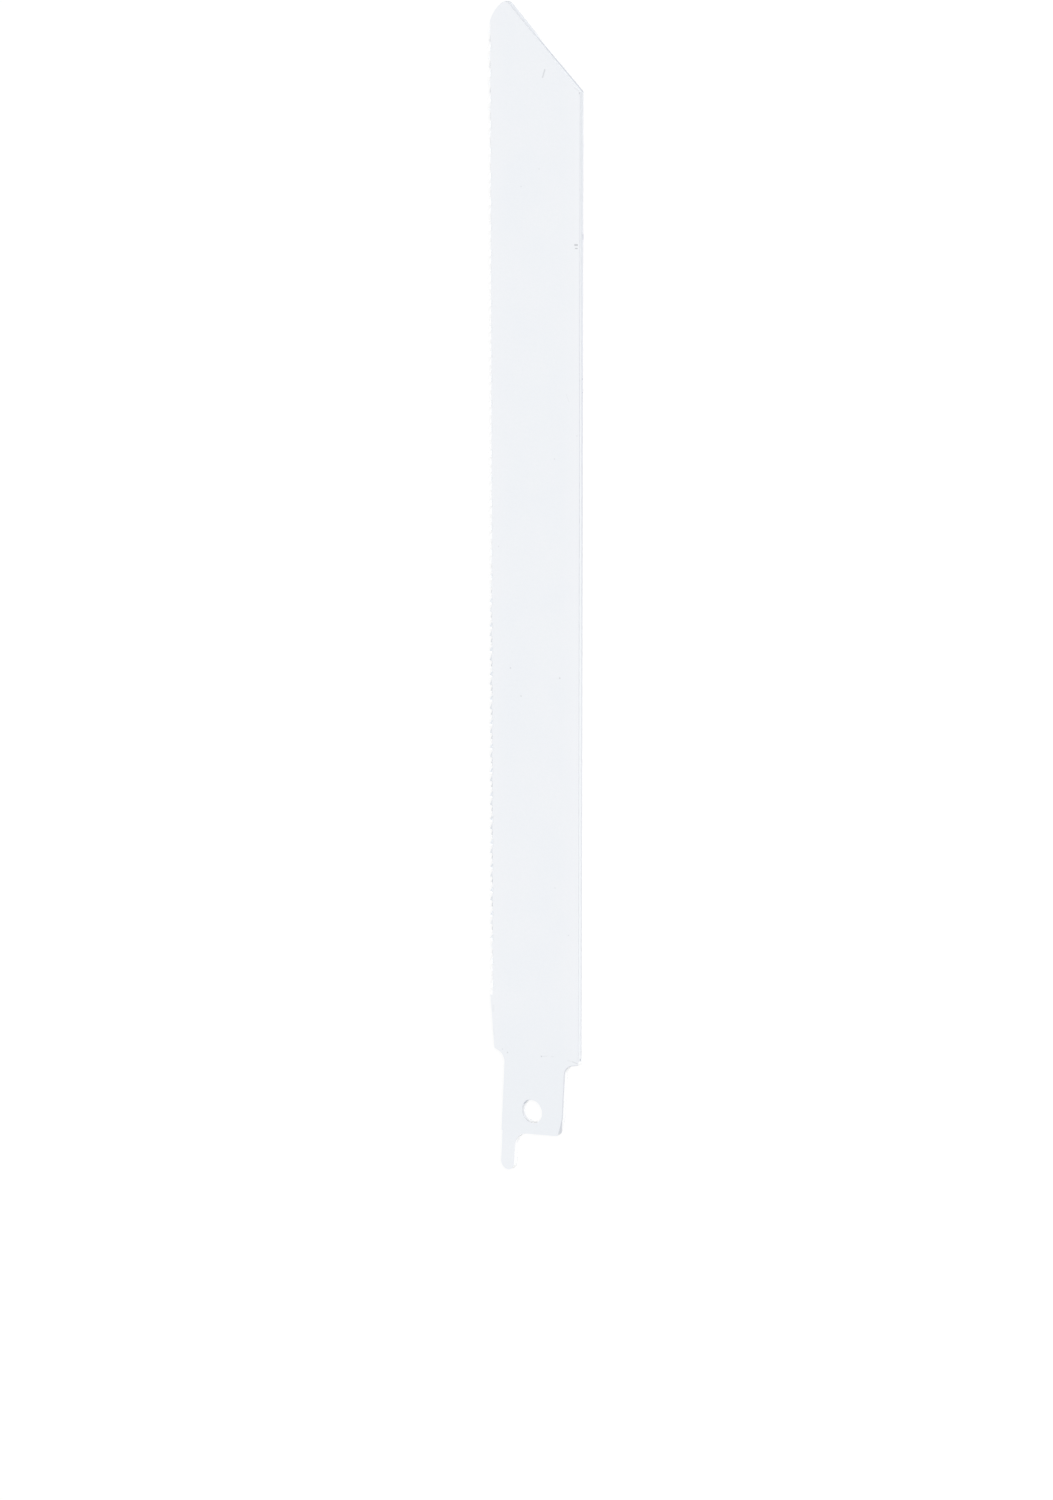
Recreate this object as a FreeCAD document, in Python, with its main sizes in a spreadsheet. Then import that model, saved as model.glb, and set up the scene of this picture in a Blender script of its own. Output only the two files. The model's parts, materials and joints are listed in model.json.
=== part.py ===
"""Reciprocating saw blade for sheet metal: one flat piece with a shank, in millimetres.

The blade lies flat with its plain side up. Its length runs along Y with the nose at +Y, the teeth
point to -X and the back edge is at +X. Sketches are drawn from the tooth tip line (x = 0), the end
of the tang (y = 0) and the underside (z = 0). The body's placement then puts the middle of the
blade over the origin, with the lowest tooth tips on z = 0.
"""
import FreeCAD, Part
import os
from math import asin, cos, degrees, radians, sin, sqrt
from types import SimpleNamespace

import Sketcher

# Driving dimensions: name, value, what it measures
SIZES = (
    ("overall_length", 200.0, "end of the tang to the nose"),
    ("blade_width", 18.5, "tooth tips to the back edge"),
    ("thickness", 0.95, "steel strip with its lacquer"),
    ("tooth_pitch", 1.4, "tip to tip"),
    ("tooth_depth", 0.55, "tip line to the gullet bottoms"),
    ("tooth_set", 0.2, "how far a set tip stands out of the strip's side"),
    ("tooth_land", 0.06, "flat at the tip of a tooth"),
    ("gullet_radius", 0.22, "round foot of a tooth's cutting face"),
    ("teeth_start", 32.1, "end of the tang to the first gullet"),
    ("teeth_to_nose", 4.0, "least distance between the last gullet and the nose"),
    ("nose_side_radius", 6.5, "nose curve on the tooth side"),
    ("nose_tip_radius", 1.2, "nose curve at the far end"),
    ("nose_tip_side", 3.5, "tooth tip line to the middle of the nose's far end"),
    ("slant_angle", 44.0, "degrees between the slanted nose and the blade's width"),
    ("shoulder_height", 21.45, "end of the tang to the corners of the shoulders"),
    ("shoulder_slope", 16.0, "degrees between a shoulder and the blade's width"),
    ("shoulder_radius", 2.0, "inner corner between shoulder and shank"),
    ("corner_radius", 0.25, "outer corners of the shoulders and of the back edge"),
    ("heel_inset", 0.82, "tooth tip line to the corner of the shoulder on the tooth side"),
    ("shank_width", 12.6, "across the shank"),
    ("shank_lean", 3.0, "degrees between the shank and the blade's length"),
    ("pin_hole_diameter", 4.1, "hole for the clamp's pin"),
    ("pin_hole_offset", 0.38, "middle of the blade to the middle of the hole, towards the teeth"),
    ("pin_hole_height", 11.46, "end of the tang to the middle of the hole"),
    ("pin_hole_to_end", 4.05, "middle of the hole to the end of the shank"),
    ("shank_end_slope", 6.7, "degrees between the end of the shank and the blade's width"),
    ("shank_corner_radius", 0.6, "outer corner at the end of the shank"),
    ("lead_in_length", 3.4, "slanted edge that guides the shank into its clamp"),
    ("lead_in_angle", 12.0, "degrees between the lead-in and the shank"),
    ("tang_width", 2.75, "across the tang"),
    ("tang_inset", 0.2, "side of the shank to the side of the tang"),
    ("tang_step_height", 6.95, "end of the tang to the step beside it"),
    ("tang_root_radius", 2.8, "inner corner between tang and shank"),
)

TEETH_IN_GROUP = 3

# Sizes that follow from the ones above: name, formula, what it measures
FOLLOWING = (
    ("pin_hole_side", "=blade_width / 2 - pin_hole_offset", "tooth tip line to the middle of the hole"),
    ("slant_drop",
     "=nose_tip_radius * (1 - cos(slant_angle))"
     " + (blade_width - nose_tip_side - nose_tip_radius * sin(slant_angle)) * tan(slant_angle)",
     "nose to the corner on the back edge"),
    ("tooth_run", "=tooth_pitch - gullet_radius - tooth_land", "sloped back of a tooth, along the blade"),
    ("tooth_groups",
     "=floor((overall_length - teeth_start - teeth_to_nose) / (%d * tooth_pitch))" % TEETH_IN_GROUP,
     "groups of three teeth: one set up, one set down, one straight"),
    ("teeth_length", "=%d * tooth_groups * tooth_pitch" % TEETH_IN_GROUP, "first gullet to the last"),
    ("shoulder_lean", "=(shoulder_height - pin_hole_height) * tan(shank_lean)",
     "sideways lean of the shank between its hole and the shoulders"),
    ("tooth_shoulder_room",
     "=pin_hole_side - shank_width / (2 * cos(shank_lean)) + shoulder_lean - heel_inset - corner_radius",
     "width of the shoulder on the tooth side that a round can take"),
    ("back_shoulder_room",
     "=blade_width - pin_hole_side - shank_width / (2 * cos(shank_lean)) - shoulder_lean - corner_radius",
     "width of the shoulder on the back side that a round can take"),
)

# Sketcher's numbers for the ends of a curve, its centre and a sketch's own origin and axes
START, END, CENTRE = 1, 2, 3
ORIGIN = (-1, START)
BASE_LINE, TIP_LINE = -1, -2


def make_sheet(document):
    """Spreadsheet with a named cell for each size; returns the sizes by name."""
    sheet = document.addObject("Spreadsheet::Sheet", "sizes")
    rows = SIZES + FOLLOWING
    for row, (name, value, meaning) in enumerate(rows, start=1):
        sheet.set("A%d" % row, name)
        sheet.set("B%d" % row, str(value))
        sheet.set("C%d" % row, meaning)
        sheet.setAlias("B%d" % row, name)
    document.recompute()
    return SimpleNamespace(**{name: sheet.get(name) for name, _, _ in rows})


def point(x, y):
    return FreeCAD.Vector(x, y, 0)


def direction(angle):
    """Unit vector at an angle in degrees from the X axis."""
    return point(cos(radians(angle)), sin(radians(angle)))


def crossing(first, first_angle, second, second_angle):
    """Where two lines meet, each given by a point and its angle in degrees."""
    first_way = direction(first_angle)
    second_way = direction(second_angle)
    gap = second - first
    steps = (gap.x * second_way.y - gap.y * second_way.x) / (
        first_way.x * second_way.y - first_way.y * second_way.x)
    return first + first_way * steps


def origin_feature(body, role):
    """One of the body's own origin planes or axes."""
    return next(item for item in body.Origin.OriginFeatures if item.Role == role)


def new_sketch(body, name):
    """Empty sketch on the body's XY plane."""
    sketch = body.newObject("Sketcher::SketchObject", name)
    sketch.AttachmentSupport = [(origin_feature(body, "XY_Plane"), "")]
    sketch.MapMode = "FlatFace"
    return sketch


def add_line(sketch, start, end):
    return sketch.addGeometry(Part.LineSegment(start, end), False)


def add_arc(sketch, centre, start, end):
    """Arc about a centre, anticlockwise from start to end."""
    circle = Part.Circle(centre, FreeCAD.Vector(0, 0, 1), (start - centre).Length)
    arc = Part.ArcOfCircle(circle, circle.parameter(start), circle.parameter(end))
    return sketch.addGeometry(arc, False)


def relate(sketch, kind, *references):
    """Constraint without a size, such as Coincident, Parallel or Tangent."""
    sketch.addConstraint(Sketcher.Constraint(kind, *references))


def measure(sketch, kind, references, expression, guess):
    """Constraint whose size follows an expression of the sheet's cells."""
    index = sketch.addConstraint(Sketcher.Constraint(kind, *references, guess))
    sketch.renameConstraint(index, "size_%d" % index)
    sketch.setExpression("Constraints.size_%d" % index, expression)


def pad(body, name, sketch):
    """Sketch extruded through the thickness of the steel."""
    feature = body.newObject("PartDesign::Pad", name)
    feature.Profile = sketch
    feature.setExpression("Length", "sizes.thickness")
    body.Document.recompute()
    return feature


def strip_corners(size):
    """Points of the blade's outline above the shank, before its teeth are cut."""
    at = SimpleNamespace()
    at.heel = point(size.heel_inset, size.shoulder_height)
    at.heel_top = point(0, size.teeth_start - size.tooth_run)
    at.back_top = point(size.blade_width, size.overall_length - size.slant_drop)
    at.back_low = point(size.blade_width, size.shoulder_height)
    at.valley = crossing(at.heel, -size.shoulder_slope, at.back_low, size.shoulder_slope)

    # The slant runs into the small arc of the nose, and that into the large one
    at.tip_centre = point(size.nose_tip_side, size.overall_length - size.nose_tip_radius)
    centres_apart = size.nose_side_radius - size.nose_tip_radius
    inward = size.nose_side_radius - size.nose_tip_side
    drop = sqrt(centres_apart ** 2 - inward ** 2)
    at.side_centre = point(size.nose_side_radius, at.tip_centre.y - drop)
    arcs_way = (at.tip_centre - at.side_centre).normalize()
    at.nose_start = point(0, at.side_centre.y)
    at.arcs_meet = at.side_centre + arcs_way * size.nose_side_radius
    at.slant_top = at.tip_centre + direction(90 - size.slant_angle) * size.nose_tip_radius
    return at


def shank_corners(size):
    """Points of the shank and tang, with their corners still sharp."""
    up = 90 - size.shank_lean
    across = direction(-size.shank_lean)
    strip = strip_corners(size)
    at = SimpleNamespace()
    at.hole = point(size.pin_hole_side, size.pin_hole_height)
    left = at.hole - across * (size.shank_width / 2)
    right = at.hole + across * (size.shank_width / 2)
    end = at.hole + direction(size.shank_end_slope - 90) * size.pin_hole_to_end
    top = point(0, size.teeth_start)
    at.left_top = crossing(left, up, top, 0)
    at.right_top = crossing(right, up, top, 0)
    at.tooth_shoulder = crossing(left, up, strip.heel, -size.shoulder_slope)
    at.back_shoulder = crossing(right, up, strip.back_low, size.shoulder_slope)

    lead_in = direction(up - size.lead_in_angle) * size.lead_in_length
    at.end_corner = crossing(end, size.shank_end_slope, right - lead_in, up)
    at.lead_in_top = at.end_corner + lead_in

    tang_left = left + across * size.tang_inset
    tang_right = tang_left + across * size.tang_width
    tang_radius = size.tang_width / 2
    at.tang_root = crossing(tang_right, up, end, size.shank_end_slope)
    at.tang_centre = crossing(tang_left + across * tang_radius, up, point(0, tang_radius), 0)
    at.tang_left_low = at.tang_centre - across * tang_radius
    at.tang_right_low = at.tang_centre + across * tang_radius
    at.step_outer = crossing(left, up, point(0, size.tang_step_height), 0)
    at.step_inner = at.step_outer + across * size.tang_inset
    return at


def make_strip(body, size):
    """The blade above its shank, with a straight edge where the teeth will be."""
    at = strip_corners(size)
    sketch = new_sketch(body, "strip_outline")
    heel_edge = add_line(sketch, at.heel, at.heel_top)
    tip_edge = add_line(sketch, at.heel_top, at.nose_start)
    side_arc = add_arc(sketch, at.side_centre, at.arcs_meet, at.nose_start)
    tip_arc = add_arc(sketch, at.tip_centre, at.slant_top, at.arcs_meet)
    slant_edge = add_line(sketch, at.back_top, at.slant_top)
    back = add_line(sketch, at.back_top, at.back_low)
    back_shoulder = add_line(sketch, at.valley, at.back_low)
    tooth_shoulder = add_line(sketch, at.valley, at.heel)

    relate(sketch, "Coincident", heel_edge, END, tip_edge, START)
    relate(sketch, "Tangent", tip_edge, END, side_arc, END)
    relate(sketch, "Tangent", side_arc, START, tip_arc, END)
    relate(sketch, "Tangent", tip_arc, START, slant_edge, END)
    relate(sketch, "Coincident", slant_edge, START, back, START)
    relate(sketch, "Coincident", back, END, back_shoulder, END)
    relate(sketch, "Coincident", back_shoulder, START, tooth_shoulder, START)
    relate(sketch, "Coincident", tooth_shoulder, END, heel_edge, START)
    relate(sketch, "PointOnObject", heel_edge, END, TIP_LINE)
    relate(sketch, "Vertical", tip_edge)
    relate(sketch, "Vertical", back)

    measure(sketch, "DistanceX", (*ORIGIN, heel_edge, START), "sizes.heel_inset", at.heel.x)
    measure(sketch, "DistanceY", (*ORIGIN, heel_edge, START), "sizes.shoulder_height", at.heel.y)
    measure(sketch, "DistanceY", (*ORIGIN, heel_edge, END),
            "sizes.teeth_start - sizes.tooth_run", at.heel_top.y)
    measure(sketch, "Radius", (side_arc,), "sizes.nose_side_radius", size.nose_side_radius)
    measure(sketch, "Radius", (tip_arc,), "sizes.nose_tip_radius", size.nose_tip_radius)
    measure(sketch, "DistanceX", (*ORIGIN, tip_arc, CENTRE), "sizes.nose_tip_side", at.tip_centre.x)
    measure(sketch, "DistanceY", (*ORIGIN, tip_arc, CENTRE),
            "sizes.overall_length - sizes.nose_tip_radius", at.tip_centre.y)
    measure(sketch, "DistanceX", (*ORIGIN, back, START), "sizes.blade_width", at.back_top.x)
    measure(sketch, "DistanceY", (*ORIGIN, back, START),
            "sizes.overall_length - sizes.slant_drop", at.back_top.y)
    measure(sketch, "DistanceY", (*ORIGIN, back, END), "sizes.shoulder_height", at.back_low.y)
    measure(sketch, "Angle", (back_shoulder,), "sizes.shoulder_slope", radians(size.shoulder_slope))
    measure(sketch, "Angle", (tooth_shoulder,), "180 - sizes.shoulder_slope",
            radians(180 - size.shoulder_slope))
    return pad(body, "strip", sketch)


def make_shank(body, size):
    """Shank and tang, drawn from the pin hole and running up into the strip."""
    at = shank_corners(size)
    up = 90 - size.shank_lean
    sketch = new_sketch(body, "shank_outline")
    right = add_line(sketch, at.lead_in_top, at.right_top)
    lead_in = add_line(sketch, at.end_corner, at.lead_in_top)
    end = add_line(sketch, at.tang_root, at.end_corner)
    tang_right = add_line(sketch, at.tang_right_low, at.tang_root)
    tang_end = add_arc(sketch, at.tang_centre, at.tang_left_low, at.tang_right_low)
    tang_left = add_line(sketch, at.tang_left_low, at.step_inner)
    step = add_line(sketch, at.step_outer, at.step_inner)
    left = add_line(sketch, at.step_outer, at.left_top)
    top = add_line(sketch, at.left_top, at.right_top)
    hole = sketch.addGeometry(Part.Point(at.hole), True)

    relate(sketch, "Coincident", right, END, top, END)
    relate(sketch, "Coincident", right, START, lead_in, END)
    relate(sketch, "Coincident", lead_in, START, end, END)
    relate(sketch, "Coincident", end, START, tang_right, END)
    relate(sketch, "Tangent", tang_right, START, tang_end, END)
    relate(sketch, "Tangent", tang_end, START, tang_left, START)
    relate(sketch, "Coincident", tang_left, END, step, END)
    relate(sketch, "Coincident", step, START, left, START)
    relate(sketch, "Coincident", left, END, top, START)
    relate(sketch, "Parallel", right, left)
    relate(sketch, "Parallel", tang_left, left)
    relate(sketch, "Parallel", tang_right, left)
    relate(sketch, "Perpendicular", step, left)
    relate(sketch, "Tangent", tang_end, BASE_LINE)

    measure(sketch, "DistanceX", (*ORIGIN, hole, START), "sizes.pin_hole_side", at.hole.x)
    measure(sketch, "DistanceY", (*ORIGIN, hole, START), "sizes.pin_hole_height", at.hole.y)
    measure(sketch, "Angle", (left,), "90 - sizes.shank_lean", radians(up))
    measure(sketch, "Distance", (hole, START, left), "sizes.shank_width / 2", size.shank_width / 2)
    measure(sketch, "Distance", (hole, START, right), "sizes.shank_width / 2", size.shank_width / 2)
    measure(sketch, "Distance", (hole, START, end), "sizes.pin_hole_to_end", size.pin_hole_to_end)
    measure(sketch, "Angle", (end,), "sizes.shank_end_slope", radians(size.shank_end_slope))
    measure(sketch, "Distance", (lead_in,), "sizes.lead_in_length", size.lead_in_length)
    measure(sketch, "Angle", (lead_in,), "90 - sizes.shank_lean - sizes.lead_in_angle",
            radians(up - size.lead_in_angle))
    measure(sketch, "Distance", (step,), "sizes.tang_inset", size.tang_inset)
    measure(sketch, "Distance", (tang_left, START, tang_right), "sizes.tang_width", size.tang_width)
    measure(sketch, "DistanceY", (*ORIGIN, step, START), "sizes.tang_step_height", at.step_outer.y)
    measure(sketch, "DistanceY", (*ORIGIN, left, END), "sizes.teeth_start", at.left_top.y)
    measure(sketch, "DistanceY", (*ORIGIN, right, END), "sizes.teeth_start", at.right_top.y)
    return pad(body, "shank", sketch)


def cut_through(body, name, sketch):
    """Sketch cut through the whole thickness."""
    pocket = body.newObject("PartDesign::Pocket", name)
    pocket.Profile = sketch
    pocket.Type = "ThroughAll"
    pocket.Reversed = True
    body.Document.recompute()
    return pocket


def make_tooth_seat(body, size):
    """The edge cut back to the root line, from the heel to the last gullet."""
    radius = size.gullet_radius
    low = point(size.tooth_depth, size.teeth_start)
    high = point(size.tooth_depth, size.teeth_start + size.teeth_length)
    face_foot = high + point(-radius, radius)
    outside_high = point(-size.tooth_depth, face_foot.y)
    outside_low = point(-size.tooth_depth, low.y - 2 * size.tooth_run)
    sketch = new_sketch(body, "tooth_seat_outline")
    root = add_line(sketch, low, high)
    gullet = add_arc(sketch, high - point(radius, 0), high, face_foot)
    face = add_line(sketch, face_foot, outside_high)
    outside = add_line(sketch, outside_high, outside_low)
    flank = add_line(sketch, outside_low, low)

    relate(sketch, "Tangent", root, END, gullet, START)
    relate(sketch, "Tangent", gullet, END, face, START)
    relate(sketch, "Coincident", face, END, outside, START)
    relate(sketch, "Coincident", outside, END, flank, START)
    relate(sketch, "Coincident", flank, END, root, START)
    relate(sketch, "Vertical", root)
    relate(sketch, "Vertical", outside)
    relate(sketch, "Horizontal", face)
    measure(sketch, "DistanceX", (*ORIGIN, root, START), "sizes.tooth_depth", low.x)
    measure(sketch, "DistanceY", (*ORIGIN, root, START), "sizes.teeth_start", low.y)
    measure(sketch, "Distance", (root,), "sizes.teeth_length", size.teeth_length)
    measure(sketch, "Radius", (gullet,), "sizes.gullet_radius", radius)
    measure(sketch, "DistanceX", (outside, START, *ORIGIN), "sizes.tooth_depth", size.tooth_depth)
    measure(sketch, "DistanceY", (flank, START, flank, END), "2 * sizes.tooth_run", 2 * size.tooth_run)
    return cut_through(body, "tooth_seat", sketch)


def make_pin_hole(body, size):
    """Round hole through the shank for the clamp's pin."""
    at = shank_corners(size)
    radius = size.pin_hole_diameter / 2
    sketch = new_sketch(body, "pin_hole_outline")
    circle = sketch.addGeometry(Part.Circle(at.hole, FreeCAD.Vector(0, 0, 1), radius), False)
    measure(sketch, "DistanceX", (*ORIGIN, circle, CENTRE), "sizes.pin_hole_side", at.hole.x)
    measure(sketch, "DistanceY", (*ORIGIN, circle, CENTRE), "sizes.pin_hole_height", at.hole.y)
    measure(sketch, "Radius", (circle,), "sizes.pin_hole_diameter / 2", radius)
    return cut_through(body, "pin_hole", sketch)


def round_corner(body, name, corner, radius):
    """Round the upright edge that stands at a corner of the body's outline."""
    base = body.Tip
    distances = {}
    for number, edge in enumerate(base.Shape.Edges, start=1):
        first = edge.Vertexes[0].Point
        last = edge.Vertexes[-1].Point
        upright = edge.Length > 0 and abs(first.z - last.z) > edge.Length / 2
        if upright:
            distances[number] = (point(first.x, first.y) - corner).Length
    fillet = body.newObject("PartDesign::Fillet", name)
    fillet.Base = (base, ["Edge%d" % min(distances, key=distances.get)])
    fillet.setExpression("Radius", radius)
    body.Document.recompute()
    return fillet


def make_rounds(body, size):
    """Inner and outer corners of the outline; the rounds of the shoulders fit their width."""
    strip = strip_corners(size)
    shank = shank_corners(size)
    round_corner(body, "tooth_shoulder_round", shank.tooth_shoulder,
                 "min(sizes.shoulder_radius; sizes.tooth_shoulder_room)")
    round_corner(body, "back_shoulder_round", shank.back_shoulder,
                 "min(sizes.shoulder_radius; sizes.back_shoulder_room)")
    round_corner(body, "tang_root_round", shank.tang_root, "sizes.tang_root_radius")
    round_corner(body, "shank_end_round", shank.end_corner, "sizes.shank_corner_radius")
    round_corner(body, "heel_round", strip.heel, "sizes.corner_radius")
    round_corner(body, "back_low_round", strip.back_low, "sizes.corner_radius")
    round_corner(body, "back_top_round", strip.back_top, "sizes.corner_radius")


def make_tooth(body, size, name, place_in_group, side):
    """One tooth on the root line, bent towards a side: 1 is up, -1 is down, 0 is straight."""
    depth = size.tooth_depth
    radius = size.gullet_radius
    sketch = new_sketch(body, name + "_outline")
    foot = point(0, 0)
    face_foot = point(-radius, radius)
    tip = point(-depth, radius)
    land_end = point(-depth, radius + size.tooth_land)
    relief_foot = point(0, size.tooth_pitch)
    gullet = add_arc(sketch, point(-radius, 0), foot, face_foot)
    face = add_line(sketch, face_foot, tip)
    land = add_line(sketch, tip, land_end)
    relief = add_line(sketch, land_end, relief_foot)
    root = add_line(sketch, foot, relief_foot)

    relate(sketch, "Coincident", gullet, START, *ORIGIN)
    relate(sketch, "Coincident", root, START, *ORIGIN)
    relate(sketch, "PointOnObject", gullet, CENTRE, BASE_LINE)
    relate(sketch, "Tangent", gullet, END, face, START)
    relate(sketch, "Coincident", face, END, land, START)
    relate(sketch, "Coincident", land, END, relief, START)
    relate(sketch, "Coincident", relief, END, root, END)
    relate(sketch, "Horizontal", face)
    relate(sketch, "Vertical", land)
    relate(sketch, "Vertical", root)
    measure(sketch, "Radius", (gullet,), "sizes.gullet_radius", radius)
    measure(sketch, "Distance", (land,), "sizes.tooth_land", size.tooth_land)
    measure(sketch, "Distance", (root,), "sizes.tooth_pitch", size.tooth_pitch)
    measure(sketch, "DistanceX", (land, START, *ORIGIN), "sizes.tooth_depth", depth)

    height = size.teeth_start + place_in_group * size.tooth_pitch
    bend = FreeCAD.Rotation(FreeCAD.Vector(0, side, 0), degrees(asin(size.tooth_set / depth)))
    sketch.AttachmentOffset = FreeCAD.Placement(
        point(depth, height), bend if side else FreeCAD.Rotation())
    sketch.setExpression("AttachmentOffset.Base.x", "sizes.tooth_depth")
    sketch.setExpression("AttachmentOffset.Base.y",
                         "sizes.teeth_start + %d * sizes.tooth_pitch" % place_in_group)
    if side:
        sketch.setExpression("AttachmentOffset.Rotation.Angle",
                             "asin(sizes.tooth_set / sizes.tooth_depth)")
    tooth = pad(body, name, sketch)
    tooth.UseCustomVector = True
    tooth.Direction = FreeCAD.Vector(0, 0, 1)
    tooth.AlongSketchNormal = False
    body.Document.recompute()
    return tooth


def repeat_teeth(body, teeth):
    """The group of three teeth repeated along the root line."""
    pattern = body.newObject("PartDesign::LinearPattern", "tooth_row")
    pattern.Originals = teeth
    pattern.Direction = (origin_feature(body, "Y_Axis"), [""])
    pattern.Mode = "Spacing"
    pattern.setExpression("Offset", "%d * sizes.tooth_pitch" % TEETH_IN_GROUP)
    pattern.setExpression("Occurrences", "sizes.tooth_groups")
    body.Tip = pattern
    body.Document.recompute()
    return pattern


def make_blade(document, size):
    """The whole blade as one body."""
    body = document.addObject("PartDesign::Body", "blade")
    body.Label = "blade"
    make_strip(body, size)
    make_shank(body, size)
    make_tooth_seat(body, size)
    make_pin_hole(body, size)
    make_rounds(body, size)
    repeat_teeth(body, [
        make_tooth(body, size, "tooth_up", 0, 1),
        make_tooth(body, size, "tooth_down", 1, -1),
        make_tooth(body, size, "tooth_straight", 2, 0),
    ])
    body.setExpression("Placement.Base.x", "-sizes.blade_width / 2")
    body.setExpression("Placement.Base.y", "-sizes.overall_length / 2")
    body.setExpression("Placement.Base.z", "sizes.tooth_set")
    document.recompute()
    return body


def check(document, body):
    """Stop with a plain message if anything in the document failed."""
    for item in document.Objects:
        if "Invalid" in item.State or "Error" in item.State:
            raise RuntimeError("%s failed: %s" % (item.Name, item.State))
        if item.isDerivedFrom("Sketcher::SketchObject") and not item.FullyConstrained:
            raise RuntimeError("%s is not fully constrained" % item.Name)
        if item.isDerivedFrom("PartDesign::Pocket") and (
                item.Shape.Volume >= item.BaseFeature.Shape.Volume):
            raise RuntimeError("%s cuts nothing" % item.Name)
    if body.Shape.isNull() or not body.Shape.isValid() or len(body.Shape.Solids) != 1:
        raise RuntimeError("the blade is not one valid solid")


document = FreeCAD.newDocument("saw_blade")
blade = make_blade(document, make_sheet(document))
check(document, blade)
os.makedirs("parts", exist_ok=True)
blade.Shape.exportStep("parts/%s.step" % blade.Label)
box = blade.Shape.BoundBox
print("blade: %.2f x %.2f x %.2f mm, %.1f mm3, %d faces" % (
    box.XLength, box.YLength, box.ZLength, blade.Shape.Volume, len(blade.Shape.Faces)))
print("lowest %.3f %.3f %.3f, highest %.3f %.3f %.3f" % (
    box.XMin, box.YMin, box.ZMin, box.XMax, box.YMax, box.ZMax))
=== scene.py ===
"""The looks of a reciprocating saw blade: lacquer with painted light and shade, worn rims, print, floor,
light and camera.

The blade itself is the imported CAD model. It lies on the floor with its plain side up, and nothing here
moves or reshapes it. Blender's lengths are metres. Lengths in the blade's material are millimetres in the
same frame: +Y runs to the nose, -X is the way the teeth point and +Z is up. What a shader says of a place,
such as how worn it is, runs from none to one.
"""

import json
import math

import bpy
from mathutils import Matrix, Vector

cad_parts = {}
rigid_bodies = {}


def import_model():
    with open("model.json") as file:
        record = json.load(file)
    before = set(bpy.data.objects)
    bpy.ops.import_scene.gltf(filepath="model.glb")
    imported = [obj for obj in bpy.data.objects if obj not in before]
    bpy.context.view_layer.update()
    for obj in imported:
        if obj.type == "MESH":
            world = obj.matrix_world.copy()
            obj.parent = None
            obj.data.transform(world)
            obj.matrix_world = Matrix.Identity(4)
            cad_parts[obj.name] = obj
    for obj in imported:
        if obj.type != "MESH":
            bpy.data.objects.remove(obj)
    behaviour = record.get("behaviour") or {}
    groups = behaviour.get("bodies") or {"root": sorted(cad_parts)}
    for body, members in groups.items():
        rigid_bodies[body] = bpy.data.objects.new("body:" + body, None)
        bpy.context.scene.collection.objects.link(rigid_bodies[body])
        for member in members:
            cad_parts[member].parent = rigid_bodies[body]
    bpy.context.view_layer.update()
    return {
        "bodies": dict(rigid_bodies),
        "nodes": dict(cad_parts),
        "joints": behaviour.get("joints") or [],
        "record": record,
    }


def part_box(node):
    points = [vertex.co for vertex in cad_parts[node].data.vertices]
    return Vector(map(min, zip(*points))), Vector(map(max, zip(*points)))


MILLIMETRES_IN_METRE = 1000.0

# The photograph's camera: lens, place in metres and the ways that it points
PICTURE_HEIGHT_IN_PIXELS = 1500
FOCAL_LENGTH_IN_PIXELS = 4409.1
SENSOR_LENGTH = 36.0
NEAREST_SEEN = 0.01
FARTHEST_SEEN = 50.0
CAMERA_PLACE = (0.421148, 0.144532, 0.590711)
CAMERA_RIGHT = (0.812786, -0.000680, -0.582561)
CAMERA_UP = (-0.131896, 0.973817, -0.185158)
CAMERA_BACK = (0.567434, 0.227331, 0.791416)

# Light: the sky's share of it, and the lamp's direction and softness in degrees
SKY_STRENGTH = 0.50
KEY_ELEVATION = 50.0
KEY_AZIMUTH = 28.0
KEY_SOFTNESS = 50.0

# Floor: reach in metres, the grey that throws light back, the darker grey that is seen with its shadow, and
# the white that a glow lifts this to
FLOOR_REACH = 20.0
FLOOR_LIT = (0.85, 0.85, 0.85)
FLOOR_SEEN = (0.35, 0.35, 0.35)
FLOOR_WHITE = 1.03

# Sizes and places on the blade that the frame doesn't give: angles in degrees, the rest in millimetres
TEETH_START = -67.9
TOOTH_GROUP = 4.2
TOOTH_GROUPS = 39
TEETH_END = TEETH_START + TOOTH_GROUPS * TOOTH_GROUP
TOOTH_DEPTH = 0.55
BACK_LOW_END = -78.3
BACK_HIGH_END = 85.9
SLANT_START = (9.21, 86.02)
SLANT_ANGLE = 44.0
NOSE_TIP_RADIUS = 1.2
NOSE_TIP_INSET = 3.5
SHOULDER_START = (9.07, -78.60)
SHOULDER_CENTRE = (8.33, -80.89)
SHOULDER_RADIUS = 2.0
SHOULDER_SLOPE = 16.0
SHANK_LEAN = 3.0
LEAD_IN_TOP = (5.92, -88.70)
LEAD_IN_END = (5.15, -91.59)

# Where along the blade the back edge has turned grey and over how far, and where the nose's tip starts and
# is reached
BACK_START = -77.4
BACK_FADE = 0.8
NOSE_TIP_START = 93.0
NOSE_TIP_FULL = 97.0

# The break along the slant's side face: its depth at the nose's tip, and how much deeper it gets with each
# millimetre away from there
BREAK_DEPTH = 0.12
BREAK_SLOPE = 0.058

# A side face belongs to the stretch of the outline that is so near, in millimetres
NEAR = 0.10
NEAR_SOFTNESS = 0.04

# Dashes of painted crease shade and gaps between them in a group of three teeth, in millimetres from its
# start
SHORT_DASH = (0.45, 1.15)
LONG_DASH = (2.03, 4.05)
SHORT_GAP = (0.80, 1.15)
LONG_GAP = (2.40, 3.05)
DASH_SOFTNESS = 0.15

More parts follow.
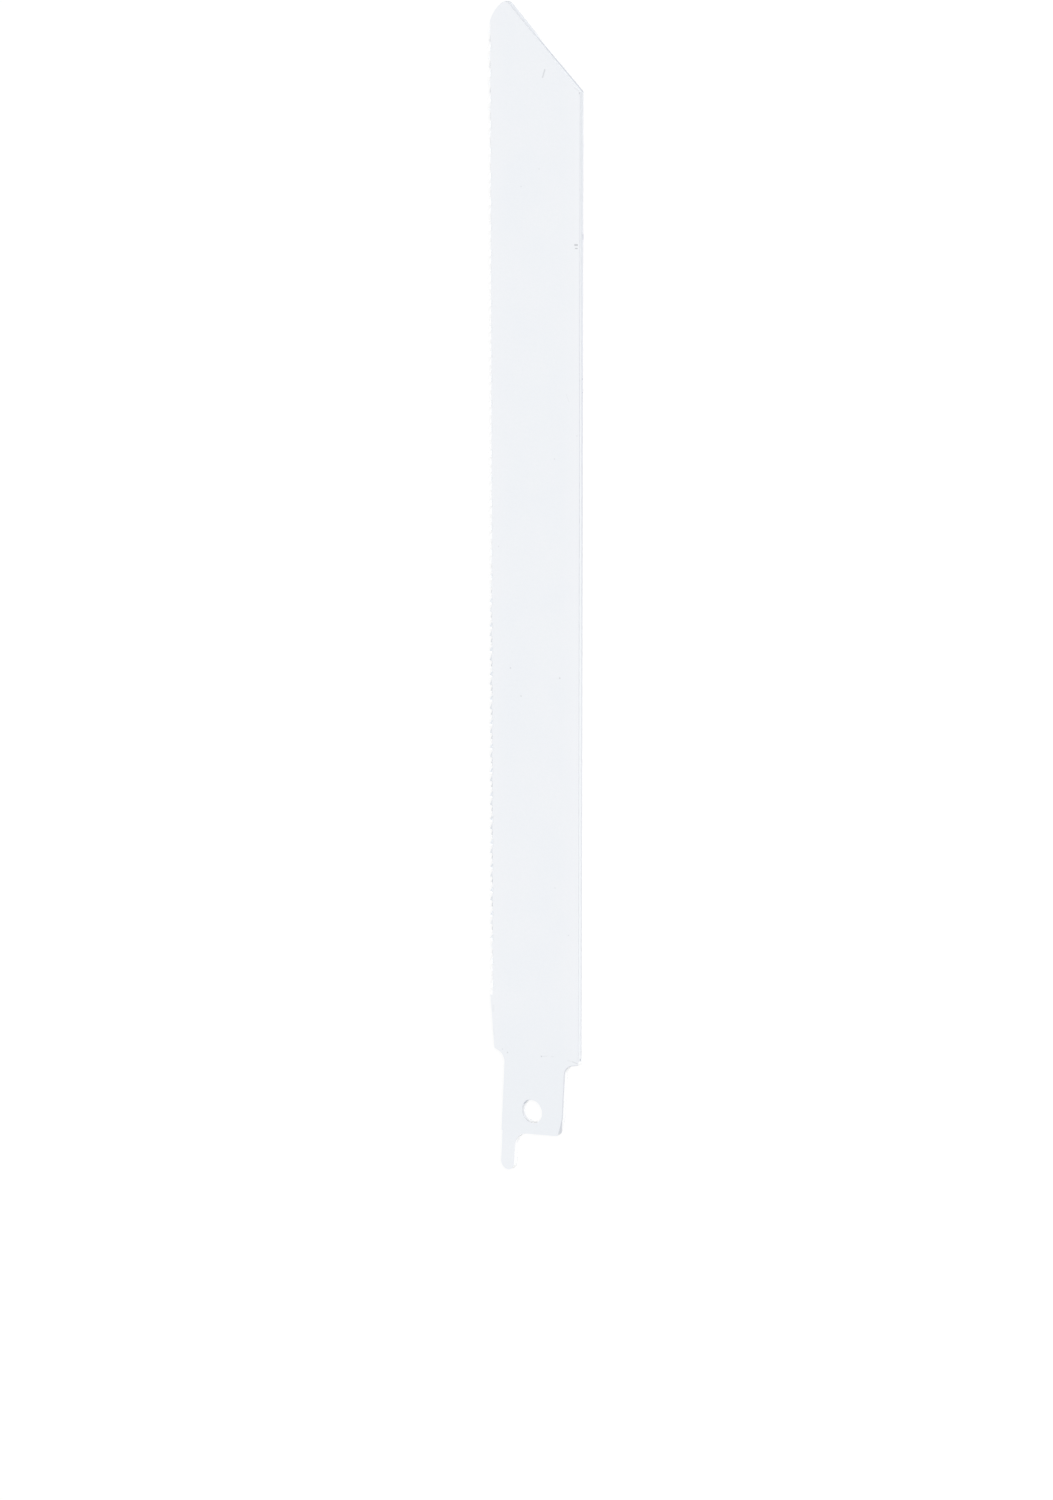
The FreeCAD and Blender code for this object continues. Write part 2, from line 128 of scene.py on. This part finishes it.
# Scratches on the plain side: both ends, half the width and how dark
SCRATCHES = (
    ((1.76, 88.05), (2.20, 89.26), 0.12, 0.26),
    ((8.24, 61.17), (8.70, 61.20), 0.14, 0.42),
    ((8.33, 60.61), (8.70, 60.64), 0.09, 0.42),
    ((6.50, 36.50), (7.11, 35.23), 0.08, 0.06),
    ((1.75, -78.24), (2.70, -78.05), 0.10, 0.07),
    ((3.60, -77.94), (4.10, -77.92), 0.10, 0.06),
    ((7.00, -78.04), (8.00, -78.10), 0.10, 0.06),
    ((8.07, -78.11), (8.98, -78.25), 0.12, 0.16),
    ((8.10, 86.62), (9.00, 86.12), 0.12, 0.07),
)

# Specks on the plain side: x, y, radius and how dark
SPECKS = (
    (-2.59, 70.06, 0.12, 0.14),
    (1.04, 73.13, 0.12, 0.14),
    (8.71, 29.72, 0.14, 0.10),
    (4.19, 25.45, 0.12, 0.14),
    (-7.32, 9.50, 0.12, 0.14),
    (-4.87, -11.05, 0.13, 0.24),
    (5.30, -11.54, 0.14, 0.28),
    (-2.69, -15.62, 0.14, 0.22),
    (4.36, -48.02, 0.12, 0.14),
    (7.17, -55.91, 0.12, 0.16),
    (1.54, -78.30, 0.13, 0.32),
    (-6.69, -78.44, 0.13, 0.16),
    (-5.63, -78.88, 0.14, 0.24),
    (9.12, 85.80, 0.18, 0.26),
)

# Nicks in the back edge's side face: y, depth below the plain side, radius and how dark
NICKS = (
    (-77.72, 0.60, 0.26, 0.85),
    (36.88, 0.80, 0.14, 1.00),
    (39.12, 0.80, 0.14, 0.90),
)

# Fields of the underside's print: x of both sides, y of both ends where x is 0, and how steeply the ends
# rise. The blue frame is what lies in the outside field and not in the inside one.
RED_FIELD = ((-7.65, 7.85), (-47.65, -31.15), 0.75)
BLUE_OUTSIDE = ((-5.55, 10.0), (55.2, 71.6), 0.7)
BLUE_INSIDE = ((-4.4, 10.0), (56.6, 70.2), 0.7)

# Colours of the lacquer, and lighter and darker copies of it that paint light and shade on side faces and
# teeth
LACQUER = (0.865, 0.888, 0.923)
LACQUER_CLOUDS = (0.881, 0.898, 0.927)
LACQUER_GRAIN = (0.850, 0.876, 0.908)
LACQUER_BY_LONG_EDGES = (0.888, 0.902, 0.930)
LACQUER_BY_SHANK = (0.835, 0.866, 0.902)
# Painted light: side faces lighter than the lacquer of the plain side
SIDE_FACE_PAINTED_LIGHT = (0.955, 0.962, 0.970)
# Painted shade: the slant's side face above its break, and the back edge's side face
SLANT_SIDE_PAINTED_SHADE = (0.815, 0.842, 0.872)
BACK_SIDE_PAINTED_SHADE = (0.838, 0.862, 0.886)
# Painted highlight on the tooth tops
TOOTH_TOPS_PAINTED_LIGHT = (0.975, 0.980, 0.985)
# Painted shade on the bases of the raised teeth
RAISED_TEETH_PAINTED_SHADE = (0.842, 0.864, 0.891)

# Colours of painted crease shade, of steel showing through the lacquer that also paints rim shade, and of
# what lies on it
# Painted shade in the creases of the set teeth
CREASE_PAINTED_SHADE = (0.700, 0.730, 0.775)
# Worn steel, also the colour of painted shade at rims and in the pin hole
WORN_STEEL_AND_PAINTED_SHADE = (0.560, 0.585, 0.640)
MARKS = (0.20, 0.21, 0.23)
RED_INK = (0.62, 0.035, 0.055)
THIN_RED_INK = (0.70, 0.06, 0.08)
BLUE_INK = (0.105, 0.155, 0.52)
THIN_BLUE_INK = (0.14, 0.19, 0.58)

# Gloss of the lacquer, and depth of its grain in metres
REFRACTION = 1.45
ROUGHNESS = 0.44
GRAIN_ROUGHNESS = 0.12
GRAIN_STRENGTH = 0.15
GRAIN_DEPTH = 0.00002

# Most of a noise's values lie between these
NOISE_LOW = 0.3
NOISE_HIGH = 0.7


class Value:
    """A number, colour or place that a shader works out. Plus, minus, times and over add maths nodes."""

    def __init__(self, shader, socket):
        self.shader = shader
        self.socket = socket

    def __add__(self, other):
        return self.shader.maths("ADD", self, other)

    def __sub__(self, other):
        return self.shader.maths("SUBTRACT", self, other)

    def __rsub__(self, other):
        return self.shader.maths("SUBTRACT", other, self)

    def __mul__(self, other):
        return self.shader.maths("MULTIPLY", self, other)

    def __truediv__(self, other):
        return self.shader.maths("DIVIDE", self, other)


class Shader:
    """The nodes of a material or of the world."""

    def __init__(self, owner):
        owner.use_nodes = True
        self.nodes = owner.node_tree.nodes
        self.links = owner.node_tree.links
        self.nodes.clear()

    def join(self, source, target):
        """Gives a socket what another node makes, or a plain number or colour."""
        if isinstance(source, Value):
            self.links.new(source.socket, target)
        elif isinstance(source, tuple):
            target.default_value = (*source, 1.0)
        else:
            target.default_value = source

    def add(self, kind, output, inputs=None, **settings):
        """Adds a node with its settings and inputs, and returns what it makes."""
        node = self.nodes.new(kind)
        for name, setting in settings.items():
            setattr(node, name, setting)
        for name, source in (inputs or {}).items():
            self.join(source, node.inputs[name])
        return Value(self, node.outputs[output])

    def show(self, surface, kind="ShaderNodeOutputMaterial"):
        """Makes a surface the one that this material or the world shows."""
        self.join(surface, self.nodes.new(kind).inputs["Surface"])

    def maths(self, operation, *inputs):
        return self.add("ShaderNodeMath", "Value", dict(enumerate(inputs)), operation=operation)

    def chain(self, operation, values):
        """One operation worked through several values."""
        found = values[0]
        for value in values[1:]:
            found = self.maths(operation, found, value)
        return found

    def least(self, *values):
        return self.chain("MINIMUM", values)

    def most(self, *values):
        return self.chain("MAXIMUM", values)

    def product(self, *values):
        return self.chain("MULTIPLY", values)

    def unsigned(self, value):
        return self.maths("ABSOLUTE", value)

    def distance(self, across, along):
        """How far away something is that lies so far across and so far along."""
        return self.maths("SQRT", across * across + along * along)

    def ramp(self, value, start, end, low=0.0, high=1.0):
        """Goes smoothly from low at start to high at end, and stays there on either side."""
        inputs = {"Value": value, "From Min": start, "From Max": end, "To Min": low, "To Max": high}
        return self.add("ShaderNodeMapRange", "Result", inputs, interpolation_type="SMOOTHSTEP")

    def under(self, value, limit, softness):
        """One where the value is below the limit, and none above it."""
        return self.ramp(value, limit - softness / 2, limit + softness / 2, low=1.0, high=0.0)

    def over(self, value, limit, softness):
        """One where the value is above the limit, and none below it."""
        return self.ramp(value, limit - softness / 2, limit + softness / 2)

    def within(self, value, low, high, softness):
        """One where the value is between low and high, and none elsewhere."""
        return self.over(value, low, softness) * self.under(value, high, softness)

    def noise(self, place, scale, detail=2.0, roughness=0.5):
        """Even noise about 0.5, with so many lumps to a millimetre."""
        inputs = {"Vector": place, "Scale": scale, "Detail": detail, "Roughness": roughness}
        return self.add("ShaderNodeTexNoise", "Fac", inputs)

    def blend(self, amount, first, second):
        """A colour between two others, the first where the amount is none."""
        inputs = {"Factor": amount, "A": first, "B": second}
        return self.add("ShaderNodeMix", "Result", inputs, data_type="RGBA")

    def part(self, vector, axis):
        """One of the three numbers of a place or direction."""
        return self.add("ShaderNodeSeparateXYZ", axis, {"Vector": vector})


class Place:
    """Where on the blade the shader is, in millimetres, and which way the surface faces there."""

    def __init__(self, shader):
        self.shader = shader
        metres = shader.add("ShaderNodeTexCoord", "Object")
        scaling = {0: metres, "Scale": MILLIMETRES_IN_METRE}
        self.vector = shader.add("ShaderNodeVectorMath", "Vector", scaling, operation="SCALE")
        self.x, self.y, self.z = (shader.part(self.vector, axis) for axis in "XYZ")

        normal = {"Vector": shader.add("ShaderNodeNewGeometry", "True Normal")}
        turned = shader.add("ShaderNodeVectorTransform", "Vector", normal,
                            vector_type="NORMAL", convert_from="WORLD", convert_to="OBJECT")
        upward = shader.part(turned, "Z")
        self.on_top = shader.over(upward, limit=0.5, softness=0.2)
        self.below = shader.under(upward, limit=-0.5, softness=0.2)
        self.on_side = 1.0 - self.on_top - self.below

    def to_point(self, x, y):
        """How far away a point is, seen from above."""
        return self.shader.distance(self.x - x, self.y - y)

    def to_line(self, start, end):
        """How far away a straight line is, seen from above."""
        length = math.dist(start, end)
        way_x = (end[0] - start[0]) / length
        way_y = (end[1] - start[1]) / length
        from_start_x = self.x - start[0]
        from_start_y = self.y - start[1]
        along = from_start_x * way_x + from_start_y * way_y
        beside = from_start_x * way_y - from_start_y * way_x
        beyond = self.shader.most(0.0 - along, along - length, 0.0)
        return self.shader.distance(beside, beyond)

    def to_path(self, points):
        """How far away the nearest of several joined lines is, seen from above."""
        return self.shader.least(*(self.to_line(*ends) for ends in zip(points[:-1], points[1:])))


def arc(centre, radius, first_angle, last_angle, steps):
    """Points along a round stretch of the outline, with its angles in degrees from +X."""
    points = []
    for step in range(steps + 1):
        angle = math.radians(first_angle + (last_angle - first_angle) * step / steps)
        points.append((centre[0] + radius * math.cos(angle), centre[1] + radius * math.sin(angle)))
    return points


class Rims:
    """How near the blade's rims and side faces are, seen from above, and where their wear and painted shade
    change.
    """

    def __init__(self, shader, place, frame):
        mounts = {mount["name"]: mount for mount in frame["record"]["mounts"]}
        lowest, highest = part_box("blade")
        tooth_tips = lowest[0] * MILLIMETRES_IN_METRE
        back_edge = highest[0] * MILLIMETRES_IN_METRE
        nose_end = highest[1] * MILLIMETRES_IN_METRE
        plain_side = mounts["shank_upper_face"]["pos_m"][2] * MILLIMETRES_IN_METRE
        self.hole = [length * MILLIMETRES_IN_METRE for length in mounts["pin_hole"]["pos_m"][:2]]
        hole_radius = mounts["pin_hole"]["dims"]["r_mm"]

        nose_tip = (tooth_tips + NOSE_TIP_INSET, nose_end - NOSE_TIP_RADIUS)
        nose = arc(nose_tip, NOSE_TIP_RADIUS, 90.0 - SLANT_ANGLE, 90.0, steps=2)
        shoulder = arc(SHOULDER_CENTRE, SHOULDER_RADIUS, 90.0 + SHOULDER_SLOPE, 180.0 - SHANK_LEAN, steps=4)
        self.to_back = place.to_line((back_edge, BACK_LOW_END), (back_edge, BACK_HIGH_END))
        self.to_slant = place.to_path([SLANT_START, *nose])
        self.to_shank = place.to_path([SHOULDER_START, *shoulder, LEAD_IN_TOP])
        self.to_lead_in = place.to_line(LEAD_IN_TOP, LEAD_IN_END)
        to_hole = shader.unsigned(place.to_point(*self.hole) - hole_radius)

        self.gullets = tooth_tips + TOOTH_DEPTH
        self.depth = plain_side - place.z
        self.back_side = place.on_side * shader.under(self.to_back, NEAR, NEAR_SOFTNESS)
        self.slant_side = place.on_side * shader.under(self.to_slant, NEAR, NEAR_SOFTNESS)
        self.hole_rim = shader.under(to_hole, limit=0.11, softness=0.06)
        self.nose_tip = shader.ramp(place.y, NOSE_TIP_START, NOSE_TIP_FULL)
        self.patches = shader.noise(place.vector, scale=1.6, detail=3.0)
        deeper = shader.most((NOSE_TIP_FULL - place.y) * BREAK_SLOPE, 0.0)
        self.below_break = self.depth - deeper - BREAK_DEPTH


class Teeth:
    """Where along the toothed edge its tops with painted highlight, and its raised teeth and creases with
    painted shade, are.

    Teeth come in groups of three, and in_group is how far a place is from the start of its group.
    """

    def __init__(self, shader, place, rims):
        self.in_group = shader.maths("FRACT", (place.y - TEETH_START) / TOOTH_GROUP) * TOOTH_GROUP
        # Painted highlight on the tooth tops, reaching a little further in over the middle stretch and
        # dimming towards the nose
        in_middle = shader.ramp(place.y, start=74.0, end=40.0) * shader.ramp(place.y, start=-5.0, end=12.0)
        self.painted_bright_tops = shader.product(
            shader.under(place.x - in_middle * 0.06, rims.gullets - 0.10, softness=0.14),
            shader.over(place.y, TEETH_START - 1.1, softness=0.4),
            shader.ramp(place.y, start=66.0, end=86.0, low=1.0, high=0.5),
        )
        # Painted shade on the bases of the raised teeth
        self.raised_shade = shader.product(
            shader.under(self.in_group, limit=1.3, softness=0.2),
            shader.within(place.x, rims.gullets - 0.14, rims.gullets + 0.30, softness=0.16),
            shader.under(place.y, TEETH_END, softness=0.2),
            place.on_top,
        )
        self.crease_shade = self.paint_crease_shade(shader, place, rims)
        self.shining = shader.product(
            self.painted_bright_tops, place.on_top, 1.0 - self.raised_shade, 1.0 - shader.least(self.crease_shade, 1.0))

    def paint_crease_shade(self, shader, place, rims):
        """Painted shade: the dark dashes where the set teeth leave the strip, strongest over the stretch
        towards the shank.
        """
        short_dash = shader.within(self.in_group, *SHORT_DASH, DASH_SOFTNESS) * 1.6
        long_dash = shader.within(self.in_group, *LONG_DASH, DASH_SOFTNESS)
        long_dash = long_dash * shader.ramp(self.in_group, start=2.8, end=3.0, low=0.95, high=0.80)
        gaps = shader.most(
            shader.within(self.in_group, *SHORT_GAP, DASH_SOFTNESS),
            shader.within(self.in_group, *LONG_GAP, DASH_SOFTNESS),
        )
        across = shader.product(
            shader.over(place.x, rims.gullets - 0.50, softness=0.10),
            shader.under(place.x - gaps * 0.10, rims.gullets - 0.04, softness=0.10),
        )
        stretch = shader.ramp(place.y, start=-68.0, end=-50.0) * shader.ramp(place.y, start=14.0, end=-12.0)
        uneven = shader.noise(place.vector, scale=0.9) * 0.8 + 0.6
        dashes = shader.most(short_dash, long_dash)
        return shader.product(dashes, across, stretch * 0.96, uneven, place.on_top)


def make_camera():
    """The camera of the photograph: it looks down on the plain side from the back edge's side."""
    data = bpy.data.cameras.new("camera")
    data.sensor_fit = "AUTO"
    data.sensor_width = SENSOR_LENGTH
    data.lens = SENSOR_LENGTH * FOCAL_LENGTH_IN_PIXELS / PICTURE_HEIGHT_IN_PIXELS
    data.clip_start = NEAREST_SEEN
    data.clip_end = FARTHEST_SEEN
    camera = bpy.data.objects.new("camera", data)
    bpy.context.scene.collection.objects.link(camera)
    turn = Matrix((CAMERA_RIGHT, CAMERA_UP, CAMERA_BACK)).transposed()
    camera.matrix_world = Matrix.Translation(CAMERA_PLACE) @ turn.to_4x4()
    bpy.context.scene.camera = camera


def seen_directly(shader):
    """One for the camera, in reflections and through glass, and none for light that falls on something."""
    rays = ("Is Camera Ray", "Is Glossy Ray", "Is Transmission Ray")
    return shader.most(*(shader.add("ShaderNodeLightPath", ray) for ray in rays))


def make_sky():
    """An even white light from all round, which is seen as plain white."""
    world = bpy.data.worlds.new("studio")
    bpy.context.scene.world = world
    shader = Shader(world)
    strength = seen_directly(shader) * (1.0 - SKY_STRENGTH) + SKY_STRENGTH
    sky = shader.add("ShaderNodeBackground", "Background", {"Color": (1.0, 1.0, 1.0), "Strength": strength})
    shader.show(sky, kind="ShaderNodeOutputWorld")


def make_lamp():
    """A large soft lamp on the back edge's side. With the sky it lights a level face fully."""
    elevation = math.radians(KEY_ELEVATION)
    data = bpy.data.lights.new("key", "SUN")
    data.angle = math.radians(KEY_SOFTNESS)
    data.energy = math.pi * (1.0 - SKY_STRENGTH) / math.sin(elevation)
    lamp = bpy.data.objects.new("key", data)
    bpy.context.scene.collection.objects.link(lamp)
    lamp.rotation_euler = (0.0, math.pi / 2 - elevation, math.radians(KEY_AZIMUTH))


def make_floor():
    """A large white floor that keeps a soft shadow."""
    mesh = bpy.data.meshes.new("floor")
    corners = [(x * FLOOR_REACH, y * FLOOR_REACH, 0.0) for x, y in ((-1, -1), (1, -1), (1, 1), (-1, 1))]
    mesh.from_pydata(corners, [], [(0, 1, 2, 3)])
    floor = bpy.data.objects.new("floor", mesh)
    bpy.context.scene.collection.objects.link(floor)
    material = bpy.data.materials.new("floor")
    shader = Shader(material)
    seen = seen_directly(shader)
    grey = shader.blend(seen, FLOOR_LIT, FLOOR_SEEN)
    paint = shader.add("ShaderNodeBsdfDiffuse", "BSDF", {"Color": grey})
    strength = seen * (FLOOR_WHITE - FLOOR_SEEN[0])
    glow = shader.add("ShaderNodeEmission", "Emission", {"Strength": strength})
    shader.show(shader.add("ShaderNodeAddShader", "Shader", {0: paint, 1: glow}))
    mesh.materials.append(material)


def back_edge_wear_and_shade(shader, place, rims):
    """A line of wear and painted shade at the back edge's rim, and low on its side face a wavering painted
    shade and a few nicks.
    """
    waver = shader.noise(place.vector, scale=0.5)
    nose_half = shader.ramp(place.y, start=-40.0, end=30.0)
    # Wear with painted shade along the rim
    upper_line = shader.product(
        shader.under(rims.to_back, limit=0.09, softness=0.08),
        shader.under(rims.depth, limit=0.10, softness=0.10),
        nose_half * 0.22 + 0.27,
    )
    # Painted shade low on the side face, next to the floor
    rise = shader.ramp(place.y, start=-20.0, end=95.0, low=-0.02, high=0.36)
    level = rims.depth - (waver - 0.5) * 0.20 + rise
    low_painted_shade = shader.product(
        shader.within(level, low=0.62, high=1.00, softness=0.14),
        shader.ramp(place.y, BACK_START, BACK_START + BACK_FADE),
        rims.patches * 0.2 + nose_half * 0.10 + 0.25,
        rims.back_side,
    )
    streak = shader.within(place.y, low=62.04, high=62.92, softness=0.16)
    nicks = [streak * shader.over(rims.depth, limit=0.68, softness=0.12) * 0.7]
    for y, depth, radius, strength in NICKS:
        from_nick = shader.distance(place.y - y, rims.depth - depth)
        nicks.append(shader.under(from_nick, radius, softness=radius * 0.6) * strength)
    return shader.most(upper_line, low_painted_shade, shader.most(*nicks) * rims.back_side)


def slant_wear_and_shade(shader, place, rims):
    """A patchy line of wear and painted shade along the slant side's break, and painted shade round the
    nose's tip.
    """
    # Wear with painted shade along the break
    line = shader.product(
        shader.under(rims.to_slant, limit=0.10, softness=0.06),
        shader.within(rims.below_break, low=-0.20, high=0.24, softness=0.16),
        rims.patches * 0.3 + 0.70 - rims.nose_tip * 0.44,
    )
    # Painted shade over the slant's side face round the nose's tip
    return shader.most(line, rims.slant_side * rims.nose_tip * 0.28)


def shank_wear_and_shade(shader, place, rims):
    """A line of wear and painted shade along the rim of shoulder and shank, and a widening wedge of painted
    shade down the lead-in.
    """
    # Wear with painted shade along the rim
    line = shader.product(
        shader.under(rims.to_shank, limit=0.11, softness=0.06),
        shader.under(rims.depth, limit=0.22, softness=0.10),
    )
    # Painted shade: a wedge that widens down the lead-in
    widening = (LEAD_IN_TOP[1] - place.y) * 0.33
    wedge = shader.product(
        shader.under(rims.to_lead_in, limit=0.06, softness=0.04),
        shader.under(rims.depth - widening, limit=0.03, softness=0.08),
    )
    return shader.most(line * 0.56, wedge * 0.76)


def hole_painted_shade(shader, place, rims):
    """Painted shade in the pin hole, on the side of the teeth and most towards the nose, faint at its foot.
    Angles are radians.
    """
    angle = shader.maths("ARCTAN2", place.y - rims.hole[1], place.x - rims.hole[0])
    tooth_side = shader.product(
        shader.over(shader.unsigned(angle), limit=1.9, softness=0.6),
        shader.ramp(rims.depth, start=0.05, end=0.90, low=0.46, high=0.0),
    )
    darkest = shader.product(
        shader.within(angle, low=2.00, high=2.65, softness=0.45),
        shader.under(rims.depth, limit=0.46, softness=0.5),
    )
    foot = shader.within(angle, low=-2.30, high=-1.45, softness=0.40) * place.on_side
    return shader.most(tooth_side, darkest * 1.3, foot * 0.08) * rims.hole_rim


def marks(shader, place):
    """The few scratches and specks of the plain side."""
    found = [shader.under(place.to_line(start, end), half_width, softness=half_width) * strength
             for start, end, half_width, strength in SCRATCHES]
    found += [shader.under(place.to_point(x, y), radius, softness=radius) * strength
              for x, y, radius, strength in SPECKS]
    return shader.most(*found) * place.on_top


def plain_lacquer(shader, place, grain):
    """Lacquer with clouds and grain, paler by the long edges and darker by the shank."""
    clouds = shader.noise(place.vector, scale=0.12)
    colour = shader.blend(shader.ramp(clouds, NOISE_LOW, NOISE_HIGH), LACQUER, LACQUER_CLOUDS)
    colour = shader.blend(shader.ramp(grain, NOISE_LOW, NOISE_HIGH) * 0.5, colour, LACQUER_GRAIN)
    by_long_edges = shader.ramp(shader.unsigned(place.x), start=5.0, end=9.2) * 0.6
    colour = shader.blend(by_long_edges, colour, LACQUER_BY_LONG_EDGES)
    by_shank = shader.product(
        shader.ramp(place.y, start=-66.0, end=-88.0, low=0.0, high=0.55),
        shader.ramp(place.y, start=-97.0, end=-91.0, low=0.35, high=1.0),
    )
    return shader.blend(by_shank, colour, LACQUER_BY_SHANK)


def side_face_light_and_shade(shader, place, rims, colour):
    """The side faces, pale all round as painted light, and greyer above the slant's break and along the back
    edge as painted shade.
    """
    above_break = shader.most(
        shader.under(rims.below_break, limit=0.0, softness=0.2),
        shader.ramp(place.y, NOSE_TIP_START, NOSE_TIP_START + 3.0),
    )
    past_shoulder = shader.ramp(place.y, BACK_START - BACK_FADE, BACK_START)
    colour = shader.blend(place.on_side, colour, SIDE_FACE_PAINTED_LIGHT)
    colour = shader.blend(rims.slant_side * above_break, colour, SLANT_SIDE_PAINTED_SHADE)
    return shader.blend(rims.back_side * past_shoulder, colour, BACK_SIDE_PAINTED_SHADE)


def slanted_field(shader, place, sides, ends, slope):
    """A field of the print between two lines along the blade and two that slant across it."""
    across = shader.within(place.x, *sides, softness=0.08)
    return across * shader.within(place.y - place.x * slope, *ends, softness=0.1)


def print_on_underside(shader, place, colour):
    """The far side's print: a red field by the shank and a blue frame by the nose, open at the back edge."""
    thin = shader.noise(place.vector, scale=6.0, detail=3.0) * 0.3
    red = slanted_field(shader, place, *RED_FIELD)
    blue = slanted_field(shader, place, *BLUE_OUTSIDE) * (1.0 - slanted_field(shader, place, *BLUE_INSIDE))
    colour = shader.blend(red * place.below, colour, shader.blend(thin, RED_INK, THIN_RED_INK))
    return shader.blend(blue * place.below, colour, shader.blend(thin, BLUE_INK, THIN_BLUE_INK))


def make_lacquered_steel(frame):
    """Matte white lacquer with a little blue in it, worn through to grey steel along the rims, with painted
    light and shade.
    """
    material = bpy.data.materials.new("lacquered_steel")
    shader = Shader(material)
    place = Place(shader)
    rims = Rims(shader, place, frame)
    teeth = Teeth(shader, place, rims)
    grain = shader.noise(place.vector, scale=3.2, roughness=0.6)
    # Wear and painted shade along the rims, and painted shade in the pin hole
    wear_and_shade = shader.most(
        back_edge_wear_and_shade(shader, place, rims),
        slant_wear_and_shade(shader, place, rims),
        shank_wear_and_shade(shader, place, rims),
        hole_painted_shade(shader, place, rims),
    )

    colour = plain_lacquer(shader, place, grain)
    # Painted light on side faces and tooth tops; painted shade on side faces, raised teeth, creases and rims
    colour = side_face_light_and_shade(shader, place, rims, colour)
    colour = shader.blend(teeth.painted_bright_tops, colour, TOOTH_TOPS_PAINTED_LIGHT)
    colour = shader.blend(teeth.raised_shade, colour, RAISED_TEETH_PAINTED_SHADE)
    colour = shader.blend(teeth.crease_shade, colour, CREASE_PAINTED_SHADE)
    colour = shader.blend(marks(shader, place), colour, MARKS)
    colour = shader.blend(wear_and_shade, colour, WORN_STEEL_AND_PAINTED_SHADE)
    colour = print_on_underside(shader, place, colour)

    relief = {"Strength": GRAIN_STRENGTH, "Distance": GRAIN_DEPTH, "Height": grain}
    surface = shader.add("ShaderNodeBsdfPrincipled", "BSDF", {
        "Base Color": colour,
        "Metallic": teeth.shining,
        "IOR": REFRACTION,
        "Roughness": grain * GRAIN_ROUGHNESS + ROUGHNESS,
        "Normal": shader.add("ShaderNodeBump", "Normal", relief),
    })
    shader.show(surface)
    return material


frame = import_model()
bpy.context.scene.view_settings.view_transform = "Standard"
make_camera()
make_sky()
make_lamp()
make_floor()
blade = frame["nodes"]["blade"]
blade.data.materials.clear()
blade.data.materials.append(make_lacquered_steel(frame))
